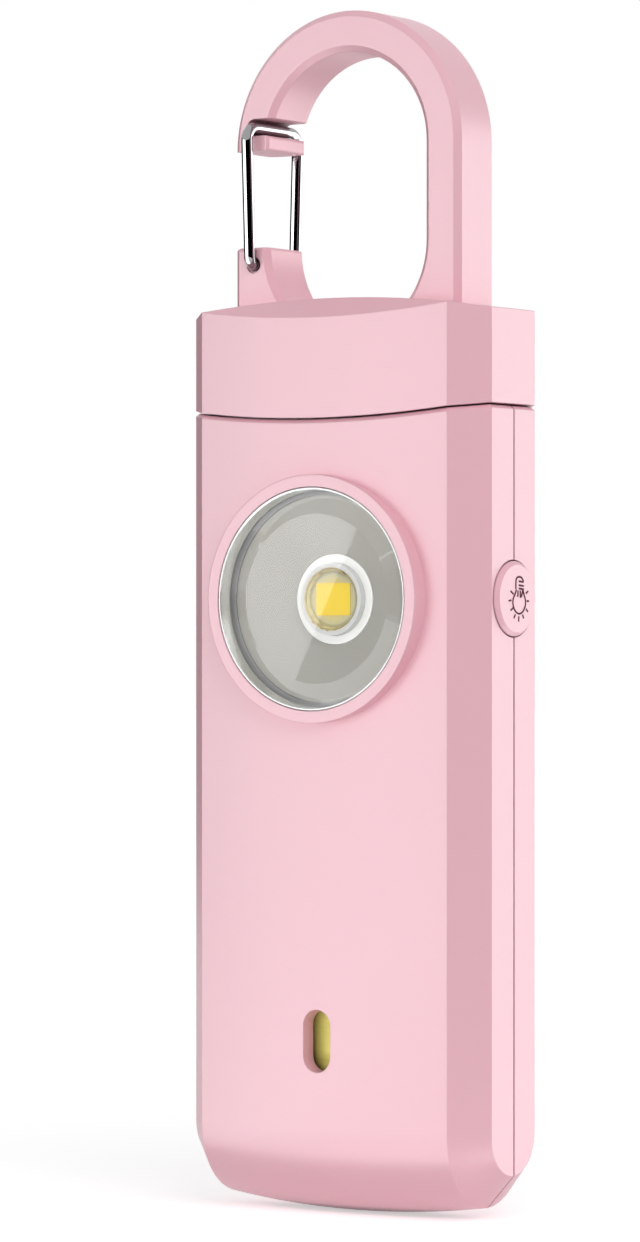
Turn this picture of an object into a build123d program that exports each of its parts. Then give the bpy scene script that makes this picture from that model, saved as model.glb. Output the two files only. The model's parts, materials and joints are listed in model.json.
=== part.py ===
from build123d import *
import math
import os

# A pocket safety alarm. Pulling its cap off draws a pin and starts the siren; a torch shines from its face.
# Millimetres, +Z up, front towards -Y, torch button on +X. Y = 0 is the plane where the two shells meet.

half_turn = 180
quarter_turn = 90
overrun = 2.0
fit_clearance = 0.05
running_clearance = 0.06

# Outline of the case, seen from above
case_half_width = 15.46
chamfer_width = 2.68
face_half_width = case_half_width - chamfer_width
edge_half_depth = 6.46
chamfer_depth = 2.93
side_half_depth = edge_half_depth - chamfer_depth
face_crown = 0.92
face_half_depth = edge_half_depth + face_crown
foot_axis_height = face_half_depth

# Seam between case and cap, an arc that sags in the middle
seam_end_height = 70.2
seam_sag = 1.1
seam_middle_height = seam_end_height - seam_sag
seam_gap = 0.15
rim_bevel = 0.32

# Walls of the case, and the lip that lines up its two shells
case_wall = 1.6
wall_middle = edge_half_depth - case_wall / 2
parting_gap = 0.2
lip_thickness = 0.75
lip_height = 0.8
deck_drop = 1.7
deck_thickness = 1.4
deck_top_height = seam_middle_height - deck_drop
deck_under_height = deck_top_height - deck_thickness

# Torch: bezel, lens, reflector and lamp, all on one axis
bezel_side_margin = 2.03
bezel_top_margin = 4.8
bezel_rise = 1.04
bezel_radius = face_half_width - bezel_side_margin
bezel_front = face_half_depth + bezel_rise
lens_height = seam_middle_height - bezel_top_margin - bezel_radius
bezel_wall = 1.09
ring_radius = bezel_radius - bezel_wall
ring_recess = 0.05
ring_rim = 0.2
ring_inner_taper = 0.16
ring_depth = 1.27
window_radius = ring_radius - running_clearance
window_bevel = 2.23
window_flat_radius = window_radius - window_bevel
window_rise = 0.37
window_edge = 0.83
gasket_thickness = 0.3
gasket_width = 0.7
torch_bore_radius = window_radius - gasket_width
torch_pad_margin = 0.35
torch_pad_radius = bezel_radius - torch_pad_margin
torch_pad_depth = 1.36
torch_pad_face = edge_half_depth - torch_pad_depth
reflector_rim = 0.3
reflector_flange_margin = 0.2
reflector_flange_radius = torch_pad_radius - reflector_flange_margin
reflector_flange_thickness = 1.65
reflector_back = torch_pad_face - reflector_flange_thickness
bowl_radius = 3.98
bowl_floor = 0.55
collar_radius = 3.93
collar_height = 0.6
lamp_base_radius = 3.16
lamp_base_rise = 0.65
lamp_base_height = collar_height + lamp_base_rise
lamp_rim_width = 0.38
lamp_rim_radius = lamp_base_radius - lamp_rim_width
lamp_cup_depth = 0.85
lamp_cup_taper = 0.45
lamp_floor_radius = lamp_rim_radius - lamp_cup_taper
phosphor_half_width = 1.68
phosphor_half_height = 1.36
phosphor_thickness = 0.12
dome_rise = 0.3
lamp_board_radius = 6.0
lamp_board_thickness = 1.0
lamp_pin_radius = 0.35
lamp_pin_offset = 4.6
lamp_pin_drop = 3.6

# Sounder behind its slot
sounder_height = 15.25
slot_width = 2.8
slot_length = 5.44
disc_side_margin = 2.78
disc_radius = face_half_width - disc_side_margin
disc_depth = 1.8
disc_front = face_half_depth - disc_depth
disc_thickness = 0.3
seat_width = 0.75
seat_rib = 0.85
brass_border = 3.0
ceramic_radius = disc_radius - brass_border
ceramic_thickness = 0.25
retainer_width = 1.4
retainer_thickness = 1.7
contact_radius = 0.3
brass_contact_inset = 2.0
ceramic_contact_inset = 0.45
contact_angle = 23

# Main board and what is soldered to it
board_face = 1.6
board_thickness = 1.0
board_boss_gap = 0.3
board_wall_gap = 1.66
board_low_height = 7.0
board_socket_gap = 0.8
board_port_margin = 5.0
board_boss_drop = 3.0
board_corner = 0.8
control_chip_side = 5.0
control_chip_thickness = 1.0
driver_chip_width = 3.9
driver_chip_height = 4.9
driver_chip_thickness = 1.5
small_chip_width = 2.9
small_chip_height = 1.6
small_chip_thickness = 1.1
control_chip_share = (0, 0.72)
driver_chip_share = (-0.52, 0.48)
charger_chip_share = (-0.59, 0.31)
switcher_chip_share = (0.64, 0.59)
coil_share = (0.52, 0.376)
coil_radius = 3.1
coil_length = 2.8

# Charging socket, a stadium 8.94 by 3.2 on the left side
port_drop = 9.55
port_height = lens_height - port_drop
port_width = 8.94
port_thickness = 2 * board_face
port_length = 7.3
port_recess = 0.4
port_wall = 0.3
port_floor = 1.0
port_opening_clearance = 0.15
port_tongue_width = 6.7
port_tongue_thickness = 0.7
port_tongue_length = 5.5

# Cell, its guard circuit and its pad
cell_boss_gap = 0.6
cell_contact_gap = 0.5
cell_port_drop = 6.0
cell_edge = 1.2
pad_thickness = 0.3
pad_margin = 1.5
cell_gap = 0.2
guard_height = 1.5
guard_margin = 1.2
guard_thickness = 2.6

# Torch button and its switch
button_side_margin = 0.28
button_radius = side_half_depth - button_side_margin
button_clearance = 0.1
button_proud = 0.42
button_bevel = 0.33
button_flange_thickness = 0.8
button_flange_inset = 0.5
button_flange_reach = 1.0
button_flange_half_width = button_radius - button_flange_inset
button_flange_half_height = button_radius + button_flange_reach
button_flange_gap = 0.11
light_switch_length = 3.3
light_switch_half_height = 2.3
light_switch_gap = 0.65
light_plunger_radius = 0.8
light_plunger_depth = 1.1
light_plunger_room = 0.5
plunger_gap = 0.03

# Pull pin, its socket and the siren switch below it
pin_radius = 1.5
pin_reach = 0.9
pin_tip_round = 0.7
pin_head_radius = 2.6
pin_head_thickness = 0.9
socket_radius = 2.6
socket_length = 5.1
socket_low_height = deck_top_height - socket_length
socket_flange_width = 0.6
socket_flange_radius = socket_radius + socket_flange_width
socket_flange_thickness = 0.8
socket_flange_drop = 1.3
socket_flange_height = deck_under_height - socket_flange_drop
socket_slit = 0.5
socket_slit_length = 1.5
socket_boss_wall = 0.6
socket_boss_radius = socket_flange_radius + fit_clearance + socket_boss_wall
socket_boss_length = 2.0
socket_boss_low_height = deck_under_height - socket_boss_length
pin_tip_height = socket_low_height - pin_reach
siren_switch_half_width = 2.5
siren_switch_lamp_gap = 0.5
siren_switch_front = reflector_back - lamp_board_thickness - siren_switch_lamp_gap
siren_switch_height = 5.0
siren_switch_pin_gap = 1.5
siren_switch_top_height = pin_tip_height - siren_switch_pin_gap
siren_plunger_radius = 1.1
siren_plunger_depth = 3.0
siren_plunger_room = 0.2
board_top_height = socket_low_height - board_socket_gap
board_wide_low_height = port_height - board_port_margin

# Case screws, driven from the rear into bosses of the front shell
boss_radius = 1.5
boss_side_margin = 4.86
boss_x = case_half_width - boss_side_margin
boss_low_drop = 14.5
boss_top_drop = 3.5
boss_low_height = port_height - boss_low_drop
boss_top_height = deck_under_height - boss_top_drop
board_wide_top_height = boss_top_height - boss_radius - board_boss_drop
board_half_width = boss_x - boss_radius - board_boss_gap
board_wide_half_width = case_half_width - case_wall - board_wall_gap
cell_half_width = boss_x - boss_radius - cell_boss_gap
screw_radius = 0.65
screw_pilot_radius = 0.55
screw_length = 7.2
screw_head_radius = 1.25
screw_head_thickness = 0.85
screw_recess = 0.45
post_radius = 1.2
post_board_margin = 1.8
post_x = board_half_width - post_board_margin
post_low_height = 16.0
post_top_drop = 2.0
post_top_height = board_wide_top_height - post_top_drop

# Cap
cap_wall = 1.5
cap_end_rise = 8.3
cap_crown = 1.2
cap_end_height = seam_end_height + cap_end_rise
cap_crest_height = cap_end_height + cap_crown
cap_roof_under_height = cap_end_height - cap_wall
spigot_gap = 0.35
cap_base_seam_gap = 0.3
cap_base_thickness = 1.9
cap_base_low_height = deck_top_height + spigot_gap
cap_base_step_height = seam_end_height + cap_base_seam_gap
cap_base_top_height = cap_base_step_height + cap_base_thickness
spigot_clearance = 0.15
cap_boss_radius = 1.25
cap_boss_tab_gap = 0.9
cap_boss_edge_gap = 2.16
cap_boss_y = edge_half_depth - cap_boss_edge_gap
cap_screw_radius = 0.6
cap_screw_length = 6.6
cap_screw_head_radius = 1.0
cap_screw_head_thickness = 0.8

# Carabiner: a loop whose left straight side is a wire gate
loop_side_margin = 1.03
loop_half_width = face_half_width - loop_side_margin
loop_bar = 3.6
loop_depth_margin = 0.57
loop_half_depth = side_half_depth - loop_depth_margin
loop_bevel = 0.53
loop_rise = 25.3
eye_sink = 3.15
loop_inner_half_width = loop_half_width - loop_bar
loop_upper_height = cap_crest_height + loop_rise - loop_half_width
loop_lower_height = cap_crest_height - eye_sink + loop_inner_half_width
loop_foot_height = cap_base_top_height + pin_head_thickness + fit_clearance
loop_tab_length = 1.1
loop_tab_reach = 1.04
loop_tab_half_depth = loop_half_depth + loop_tab_reach
loop_tab_thickness = 1.5
cap_boss_x = loop_inner_half_width - cap_boss_tab_gap - cap_boss_radius
tongue_height = 1.3
nose_slot_height = 1.5
nose_slot_back = 1.4
limb_round = 0.3

# Wire gate
wire_radius = 0.5
gate_side_margin = 2.09
gate_x = -loop_half_width + gate_side_margin
gate_pivot_drop = 1.55
gate_pivot_height = loop_lower_height - gate_pivot_drop
gate_bar_height = loop_upper_height + tongue_height + nose_slot_height / 2
gate_foot_half_width = loop_half_depth + wire_radius + fit_clearance
gate_spread = 0.52
gate_top_half_width = gate_foot_half_width + gate_spread
gate_pin_reach = 2.45
gate_top_bend = 1.25
gate_foot_bend = 0.72
gate_seat_radius = 0.72
gate_seat_depth = 0.2
gate_hole_depth = 2.25


def block(x_low, x_high, y_low, y_high, z_low, z_high):
    middle = Pos((x_low + x_high) / 2, (y_low + y_high) / 2, (z_low + z_high) / 2)
    return middle * Box(x_high - x_low, y_high - y_low, z_high - z_low)


def rod_x(y, z, radius, x_low, x_high):
    return Pos((x_low + x_high) / 2, y, z) * Rot(0, quarter_turn, 0) * Cylinder(radius, x_high - x_low)


def rod_y(x, z, radius, y_low, y_high):
    return Pos(x, (y_low + y_high) / 2, z) * Rot(quarter_turn, 0, 0) * Cylinder(radius, y_high - y_low)


def rod_z(x, y, radius, z_low, z_high):
    return Pos(x, y, (z_low + z_high) / 2) * Cylinder(radius, z_high - z_low)


def turned(height, points):
    """A profile of (radius, y) points turned about the line along Y at this height."""
    profile = make_face(Polyline(*points, close=True))
    return revolve(Pos(0, 0, height) * profile, axis=Axis((0, 0, height), (0, 1, 0)))


def inset_corner(before, corner, after, inset):
    """Where a corner of an outline goes when both its edges move inwards by this inset."""
    first = (corner - before).normalized()
    second = (after - corner).normalized()
    first_inward = Vector(-first.Y, first.X)
    second_inward = Vector(-second.Y, second.X)
    return corner + (first_inward + second_inward) * (inset / (1 + first_inward.dot(second_inward)))


def case_section(inset):
    """The lozenge that the case has from above: crowned front and rear, four chamfers, two flat sides."""
    edge = Vector(face_half_width, -edge_half_depth)
    side = Vector(case_half_width, -side_half_depth)
    crown = ThreePointArc((-edge.X, edge.Y), (0, -face_half_depth), (edge.X, edge.Y))
    edge_in = inset_corner(edge - (crown % 1), edge, side, inset)
    side_in = inset_corner(edge, side, side + Vector(0, side_half_depth), inset)
    depth = face_half_depth - inset
    outline = [
        ThreePointArc((-edge_in.X, edge_in.Y), (0, -depth), (edge_in.X, edge_in.Y)),
        Polyline((edge_in.X, edge_in.Y), (side_in.X, side_in.Y), (side_in.X, -side_in.Y), (edge_in.X, -edge_in.Y)),
        ThreePointArc((edge_in.X, -edge_in.Y), (0, depth), (-edge_in.X, -edge_in.Y)),
        Polyline((-edge_in.X, -edge_in.Y), (-side_in.X, -side_in.Y), (-side_in.X, side_in.Y), (-edge_in.X, edge_in.Y)),
    ]
    return make_face(outline)


def prism(inset, z_low, z_high):
    return extrude(Pos(0, 0, z_low) * case_section(inset), amount=z_high - z_low)


def column(inset, top_height):
    """The section run straight up, with its front half turned about the foot axis to close the bottom."""
    section = Pos(0, 0, foot_axis_height) * case_section(inset)
    front = Pos(0, -case_half_width, foot_axis_height) * Rectangle(3 * case_half_width, 2 * case_half_width)
    foot = revolve(section & front, Axis((0, 0, foot_axis_height), (1, 0, 0)), revolution_arc=half_turn)
    return foot + prism(inset, foot_axis_height, top_height)


def under_arc(end_height, middle_height, low_height):
    """What lies under an arc across the width, which is end_height at both sides of the case."""
    right = case_half_width
    arc = ThreePointArc((-right, end_height), (0, middle_height), (right, end_height))
    rest = Polyline(
        (right, end_height),
        (right + overrun, end_height),
        (right + overrun, low_height),
        (-right - overrun, low_height),
        (-right - overrun, end_height),
        (-right, end_height),
    )
    return extrude(Plane.XZ * make_face([arc, rest]), amount=face_half_depth + overrun, both=True)


def between_y(y_low, y_high):
    reach = case_half_width + overrun
    return block(-reach, reach, y_low, y_high, -overrun, cap_crest_height)


def case_blank():
    seam = under_arc(seam_end_height, seam_middle_height, -overrun)
    blank = column(0, seam_end_height + overrun) & seam
    rim = [e for e in blank.edges() if e.center().Z > seam_middle_height - rim_bevel]
    return chamfer(rim, rim_bevel)


def side_openings():
    """The bore for the torch button and the opening of the charging socket."""
    reach = case_half_width + overrun
    inner = case_half_width - case_wall - overrun
    button = rod_x(0, lens_height, button_radius + button_clearance, inner, reach)
    opening = SlotOverall(
        port_width + 2 * port_opening_clearance,
        port_thickness + 2 * port_opening_clearance,
        rotation=quarter_turn,
    )
    port = extrude(Pos(-reach, 0, port_height) * (Plane.YZ * opening), amount=reach - inner)
    return button + port


def socket_boss():
    """A boss under the deck, bored for the pin socket and grooved for its flange."""
    boss = rod_z(0, 0, socket_boss_radius, socket_boss_low_height, deck_under_height + fit_clearance)
    bore = rod_z(
        0, 0, socket_radius + fit_clearance, socket_boss_low_height - overrun, deck_top_height + overrun
    )
    groove_low = socket_flange_height - fit_clearance
    groove_high = socket_flange_height + socket_flange_thickness + fit_clearance
    groove = rod_z(0, 0, socket_flange_radius + fit_clearance, groove_low, groove_high)
    return boss, bore + groove


def half_case(y_low, y_high):
    """The case between two depths: its walls, its deck and the recess above it for the cap's spigot."""
    boss, bore = socket_boss()
    half = between_y(y_low, y_high)
    chamber = column(case_wall, deck_under_height)
    recess = prism(case_wall, deck_top_height, seam_end_height + overrun)
    return (case_blank() & half) - chamber - recess + (boss & half) - bore - side_openings()


def boss_places():
    return [(x, z) for x in (-boss_x, boss_x) for z in (boss_low_height, boss_top_height)]


def post_places():
    return [(x, z) for x in (-post_x, post_x) for z in (post_low_height, post_top_height)]


def sounder_seat():
    """A ring for the disc to lie on, inside a rib that holds the disc and its retainer."""
    back = disc_front - disc_thickness - retainer_thickness
    outer = disc_radius + fit_clearance + seat_rib
    rib = rod_y(0, sounder_height, outer, -wall_middle, -back)
    pocket = rod_y(0, sounder_height, disc_radius + fit_clearance, -disc_front, 0)
    chamber = rod_y(0, sounder_height, disc_radius - seat_width, -face_half_depth + case_wall, 0)
    return rib, pocket + chamber


def front_shell():
    rib, pocket = sounder_seat()
    lip_room = column(case_wall - lip_thickness - fit_clearance, deck_under_height)
    lip_room &= between_y(-lip_height - fit_clearance, overrun)
    chamber = column(case_wall - fit_clearance, deck_under_height)
    bosses = [rod_y(x, z, boss_radius, -wall_middle, 0) for x, z in boss_places()]
    pilots = [rod_y(x, z, screw_pilot_radius, -wall_middle + case_wall / 2, overrun) for x, z in boss_places()]
    bezel = rod_y(0, lens_height, bezel_radius, -bezel_front, -wall_middle)
    pad = rod_y(0, lens_height, torch_pad_radius, -wall_middle, -torch_pad_face)
    ring_bore = rod_y(0, lens_height, ring_radius + fit_clearance, -bezel_front - overrun, -shoulder_depth())
    light_bore = rod_y(0, lens_height, torch_bore_radius, -bezel_front, 0)
    slot = SlotOverall(slot_length, slot_width, rotation=quarter_turn)
    sound_slot = extrude(Pos(0, 0, sounder_height) * (Plane.XZ * slot), amount=face_half_depth + overrun)
    inside = [rib & chamber, pad & chamber, *bosses]
    shell = half_case(-face_half_depth - overrun, 0) - lip_room + bezel + inside
    return shell - pocket - ring_bore - light_bore - sound_slot - pilots


def rear_shell():
    lip = column(case_wall - lip_thickness, deck_under_height) & between_y(-lip_height, parting_gap)
    lip = lip - column(case_wall, deck_top_height) - side_openings()
    pillars = [rod_y(x, z, boss_radius, 0, wall_middle) for x, z in boss_places()]
    board_back = board_face + board_thickness
    posts = [rod_y(x, z, post_radius, board_back, wall_middle) for x, z in post_places()]
    holes = [rod_y(x, z, screw_radius + fit_clearance, -overrun, face_half_depth) for x, z in boss_places()]
    sinks = [
        rod_y(x, z, screw_head_radius + 2 * fit_clearance, screw_seat(), face_half_depth + overrun)
        for x, z in boss_places()
    ]
    shell = half_case(parting_gap, face_half_depth + overrun) + lip + pillars + posts
    return shell - holes - sinks


def screw_seat():
    """How far behind the parting plane the heads of the case screws sit."""
    crown = face_crown * (1 - (boss_x / face_half_width) ** 2)
    return edge_half_depth + crown - screw_recess - screw_head_thickness


def case_screws():
    seat = screw_seat()
    screws = []
    for x, z in boss_places():
        shank = rod_y(x, z, screw_pilot_radius, seat - screw_length, seat)
        head = rod_y(x, z, screw_head_radius, seat, seat + screw_head_thickness)
        screws.append(shank + head)
    return Compound(screws)


def window_rim_depth():
    return bezel_front - ring_recess - ring_depth


def window_back_depth():
    return window_rim_depth() - window_edge


def shoulder_depth():
    """Depth of the shoulder that carries the gasket and the window, forward of the parting plane."""
    return window_back_depth() - gasket_thickness


def lens_retaining_ring():
    front = bezel_front - ring_recess
    inner = ring_radius - ring_rim
    points = [
        (ring_radius, -front),
        (inner, -front),
        (inner - ring_inner_taper, -front + ring_depth),
        (ring_radius, -front + ring_depth),
    ]
    return turned(lens_height, points)


def lens_window():
    rim = window_rim_depth()
    shoulder = ring_radius - ring_rim - ring_inner_taper
    points = [
        (0, -window_back_depth()),
        (window_radius, -window_back_depth()),
        (window_radius, -rim),
        (shoulder, -rim),
        (window_flat_radius, -rim - window_rise),
        (0, -rim - window_rise),
    ]
    return turned(lens_height, points)


def lens_gasket():
    back = shoulder_depth()
    inner = window_radius - gasket_width
    ring = rod_y(0, lens_height, window_radius, -back - gasket_thickness, -back)
    return ring - rod_y(0, lens_height, inner, -back - gasket_thickness, -back)


def reflector_cup():
    """A dish with a thin rim that stands in the bore, and a flange that bears on the pad behind."""
    body = torch_bore_radius - fit_clearance
    front = shoulder_depth()
    points = [
        (body, -front),
        (body - reflector_rim, -front),
        (bowl_radius, -reflector_back - bowl_floor),
        (bowl_radius, -reflector_back),
        (reflector_flange_radius, -reflector_back),
        (reflector_flange_radius, -torch_pad_face),
        (body, -torch_pad_face),
    ]
    return turned(lens_height, points)


def led_collar():
    front = -reflector_back - collar_height
    ring = rod_y(0, lens_height, collar_radius, front, -reflector_back)
    return ring - rod_y(0, lens_height, lamp_base_radius + fit_clearance, front, -reflector_back)


def lamp_floor():
    return reflector_back + lamp_base_height - lamp_cup_depth


def led_base():
    """A round body with a cup in its front, whose wall slopes in towards its floor."""
    rim = reflector_back + lamp_base_height
    points = [
        (0, -reflector_back),
        (lamp_base_radius, -reflector_back),
        (lamp_base_radius, -rim),
        (lamp_rim_radius, -rim),
        (lamp_floor_radius, -lamp_floor()),
        (0, -lamp_floor()),
    ]
    return turned(lens_height, points)


def led_phosphor():
    floor = lamp_floor()
    low = lens_height - phosphor_half_height
    high = lens_height + phosphor_half_height
    return block(-phosphor_half_width, phosphor_half_width, -floor - phosphor_thickness, -floor, low, high)


def led_dome():
    """Clear resin that fills the cup over the phosphor, with a low crown."""
    floor = -lamp_floor()
    rim = -reflector_back - lamp_base_height
    middle_radius = lamp_rim_radius * math.sqrt(1 / 2)
    sphere = (lamp_rim_radius**2 + dome_rise**2) / (2 * dome_rise)
    middle_rise = dome_rise - sphere + math.sqrt(sphere**2 - middle_radius**2)
    crown = ThreePointArc((lamp_rim_radius, rim), (middle_radius, rim - middle_rise), (0, rim - dome_rise))
    cup = Polyline((0, rim - dome_rise), (0, floor), (lamp_floor_radius, floor), (lamp_rim_radius, rim))
    profile = Pos(0, 0, lens_height) * make_face([crown, cup])
    return revolve(profile, axis=Axis((0, 0, lens_height), (0, 1, 0))) - led_phosphor()


def led_board():
    front = -reflector_back
    return rod_y(0, lens_height, lamp_board_radius, front, front + lamp_board_thickness)


def led_pins():
    low = -reflector_back + lamp_board_thickness
    z = lens_height - lamp_pin_drop
    return Compound([rod_y(x, z, lamp_pin_radius, low, board_face) for x in (-lamp_pin_offset, lamp_pin_offset)])


def sounder_disc():
    return rod_y(0, sounder_height, disc_radius, -disc_front, -disc_front + disc_thickness)


def sounder_ceramic():
    seat = -disc_front + disc_thickness
    return rod_y(0, sounder_height, ceramic_radius, seat, seat + ceramic_thickness)


def sounder_retainer():
    seat = -disc_front + disc_thickness
    ring = rod_y(0, sounder_height, disc_radius, seat, seat + retainer_thickness)
    bore = rod_y(0, sounder_height, disc_radius - retainer_width, seat, seat + retainer_thickness)
    return ring - bore


def contact_place(side, radius):
    """Where a contact stands, below the sounder's centre and off to one side."""
    angle = math.radians(contact_angle)
    return side * radius * math.sin(angle), sounder_height - radius * math.cos(angle)


def sounder_contacts():
    """Two sprung pins from the board, one on the brass and one on the ceramic."""
    brass = -disc_front + disc_thickness
    ceramic = brass + ceramic_thickness
    x, z = contact_place(-1, disc_radius - brass_contact_inset)
    first = rod_y(x, z, contact_radius, brass, board_face)
    x, z = contact_place(1, ceramic_radius - ceramic_contact_inset)
    return Compound([first, rod_y(x, z, contact_radius, ceramic, board_face)])


def main_board():
    back = board_face + board_thickness
    narrow = block(
        -board_half_width, board_half_width, board_face, back, board_low_height, board_top_height
    )
    wide = block(
        -board_wide_half_width,
        board_wide_half_width,
        board_face,
        back,
        board_wide_low_height,
        board_wide_top_height,
    )
    board = narrow + wide
    return fillet(board.edges().filter_by(Axis.Y), board_corner)


def board_place(shares):
    """A place on the board, by shares of its half width and its height."""
    return shares[0] * board_half_width, board_low_height + shares[1] * (board_top_height - board_low_height)


def chip(width, height, thickness, shares):
    """A chip on the rear of the board."""
    back = board_face + board_thickness
    x, z = board_place(shares)
    return block(x - width / 2, x + width / 2, back, back + thickness, z - height / 2, z + height / 2)


def control_chips():
    control = chip(control_chip_side, control_chip_side, control_chip_thickness, control_chip_share)
    driver = chip(driver_chip_width, driver_chip_height, driver_chip_thickness, driver_chip_share)
    small = (small_chip_width, small_chip_height, small_chip_thickness)
    return Compound([control, driver, chip(*small, charger_chip_share), chip(*small, switcher_chip_share)])


def siren_coil():
    back = board_face + board_thickness
    x, z = board_place(coil_share)
    return rod_y(x, z, coil_radius, back, back + coil_length)


def stadium_x(width, thickness, x_low, x_high):
    face = SlotOverall(width, thickness, rotation=quarter_turn)
    return extrude(Pos(x_low, 0, port_height) * (Plane.YZ * face), amount=x_high - x_low)


def charge_port():
    """The drawn metal shell of the charging socket, closed at its inner end."""
    mouth = -case_half_width + port_recess
    shell = stadium_x(port_width, port_thickness, mouth, mouth + port_length)
    hollow_width = port_width - 2 * port_wall
    hollow = stadium_x(
        hollow_width, port_thickness - 2 * port_wall, mouth - overrun, mouth + port_length - port_floor
    )
    return shell - hollow


def charge_port_tongue():
    end = -case_half_width + port_recess + port_length - port_floor
    low = port_height - port_tongue_width / 2
    high = port_height + port_tongue_width / 2
    half = port_tongue_thickness / 2
    return block(end - port_tongue_length, end, -half, half, low, high)


def cell_ends():
    """The heights of the cell's ends, above the sounder's contacts and below the charging socket."""
    _, contact = contact_place(1, ceramic_radius - ceramic_contact_inset)
    return contact + contact_radius + cell_contact_gap, port_height - cell_port_drop


def battery_cell():
    front = -disc_front + disc_thickness + retainer_thickness + cell_gap
    back = board_face - pad_thickness
    cell = block(-cell_half_width, cell_half_width, front, back, *cell_ends())
    return fillet(cell.edges().filter_by(Axis.Z), cell_edge)


def battery_pad():
    half = cell_half_width - pad_margin
    low, high = cell_ends()
    return block(-half, half, board_face - pad_thickness, board_face, low + pad_margin, high - pad_margin)


def battery_circuit():
    half = cell_half_width - guard_margin
    back = board_face - pad_thickness - guard_margin / 2
    _, top = cell_ends()
    return block(-half, half, back - guard_thickness, back, top, top + guard_height)


def button_flange_back():
    return case_half_width - case_wall - button_flange_gap - button_flange_thickness


def light_button():
    """A round key with a plate behind the wall that keeps it in."""
    back = button_flange_back()
    front = back + button_flange_thickness
    face = case_half_width + button_proud
    key = rod_x(0, lens_height, button_radius, front, face)
    key = chamfer(key.edges().sort_by(Axis.X)[-1], button_bevel)
    low = lens_height - button_flange_half_height
    high = lens_height + button_flange_half_height
    return key + block(back, front, -button_flange_half_width, button_flange_half_width, low, high)


def light_switch():
    face = button_flange_back() - light_switch_gap
    low = lens_height - light_switch_half_height
    high = lens_height + light_switch_half_height
    body = block(face - light_switch_length, face, -board_face, board_face, low, high)
    room = face - light_plunger_depth - light_plunger_room
    return body - rod_x(0, lens_height, light_plunger_radius + running_clearance, room, face)


def light_plunger():
    face = button_flange_back() - light_switch_gap
    end = button_flange_back() - plunger_gap
    return rod_x(0, lens_height, light_plunger_radius, face - light_plunger_depth, end)


def siren_switch():
    low = siren_switch_top_height - siren_switch_height
    half = siren_switch_half_width
    body = block(-half, half, -siren_switch_front, board_face, low, siren_switch_top_height)
    room = siren_switch_top_height - siren_plunger_depth - siren_plunger_room
    return body - rod_z(0, 0, siren_plunger_radius + running_clearance, room, siren_switch_top_height)


def siren_plunger():
    low = siren_switch_top_height - siren_plunger_depth
    return rod_z(0, 0, siren_plunger_radius, low, pin_tip_height - plunger_gap)


def pin_socket():
    """A flanged sleeve with four fingers at its lower end, which grip the pin."""
    sleeve = rod_z(0, 0, socket_radius, socket_low_height, deck_top_height)
    flange_top = socket_flange_height + socket_flange_thickness
    flange = rod_z(0, 0, socket_flange_radius, socket_flange_height, flange_top)
    bore = rod_z(0, 0, pin_radius + running_clearance, socket_low_height, deck_top_height)
    reach = socket_radius + overrun
    half = socket_slit / 2
    slit_top = socket_low_height + socket_slit_length
    along_x = block(-reach, reach, -half, half, socket_low_height - overrun, slit_top)
    along_y = block(-half, half, -reach, reach, socket_low_height - overrun, slit_top)
    return sleeve + flange - bore - along_x - along_y


def pull_pin():
    shank = rod_z(0, 0, pin_radius, pin_tip_height, cap_base_top_height)
    shank = fillet(shank.edges().sort_by(Axis.Z)[0], pin_tip_round)
    head_top = cap_base_top_height + pin_head_thickness
    return shank + rod_z(0, 0, pin_head_radius, cap_base_top_height, head_top)


def cap_boss_places():
    return [(cap_boss_x, -cap_boss_y), (-cap_boss_x, cap_boss_y)]


def cap_base():
    """The floor of the cap, with a spigot below it that enters the top of the case."""
    floor = prism(cap_wall + fit_clearance, cap_base_step_height, cap_base_top_height)
    spigot = prism(case_wall + spigot_clearance, cap_base_low_height, cap_base_step_height)
    base = floor + spigot
    base -= rod_z(0, 0, pin_radius + fit_clearance, cap_base_low_height, cap_base_top_height)
    for x, y in cap_boss_places():
        base -= rod_z(x, y, cap_screw_radius + fit_clearance, cap_base_low_height, cap_base_top_height)
        sink_top = cap_base_low_height + cap_screw_head_thickness
        base -= rod_z(x, y, cap_screw_head_radius + fit_clearance, cap_base_low_height, sink_top)
    return base


def cap_screws():
    seat = cap_base_low_height + cap_screw_head_thickness
    screws = []
    for x, y in cap_boss_places():
        shank = rod_z(x, y, cap_screw_radius, seat, seat + cap_screw_length)
        screws.append(shank + rod_z(x, y, cap_screw_head_radius, cap_base_low_height, seat))
    return Compound(screws)


def cap_facet(side):
    """A plane at 45 degrees through the two upper corners of the face, cut off the front or the rear."""
    corner_height = cap_crest_height - (cap_crest_height - cap_end_height) * (face_half_width / case_half_width) ** 2
    reach = face_half_depth
    corner = side * edge_half_depth
    low = (corner + side * reach, corner_height - reach)
    inner = (corner - side * reach, corner_height + reach)
    outer = (corner + side * reach, corner_height + reach)
    triangle = make_face(Polyline(low, inner, outer, close=True))
    return extrude(Plane.YZ * triangle, amount=case_half_width + overrun, both=True)


def top_cap():
    seam = under_arc(seam_end_height + seam_gap, seam_middle_height + seam_gap, -overrun)
    arch = under_arc(cap_end_height, cap_crest_height, -overrun)
    blank = (prism(0, seam_middle_height - overrun, cap_crest_height + overrun) & arch) - seam
    blank = blank - cap_facet(-1) - cap_facet(1)
    hollow = prism(cap_wall, seam_middle_height - overrun, cap_roof_under_height)
    slot_x = loop_half_width + fit_clearance
    slot_y = loop_half_depth + fit_clearance
    slot = block(-slot_x, slot_x, -slot_y, slot_y, cap_roof_under_height - overrun, cap_crest_height + overrun)
    cap = blank - hollow
    for x, y in cap_boss_places():
        cap += rod_z(x, y, cap_boss_radius, cap_base_top_height, cap_roof_under_height + fit_clearance)
    for x, y in cap_boss_places():
        cap -= rod_z(x, y, cap_screw_radius, cap_base_top_height, cap_roof_under_height)
    return cap - slot


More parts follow.
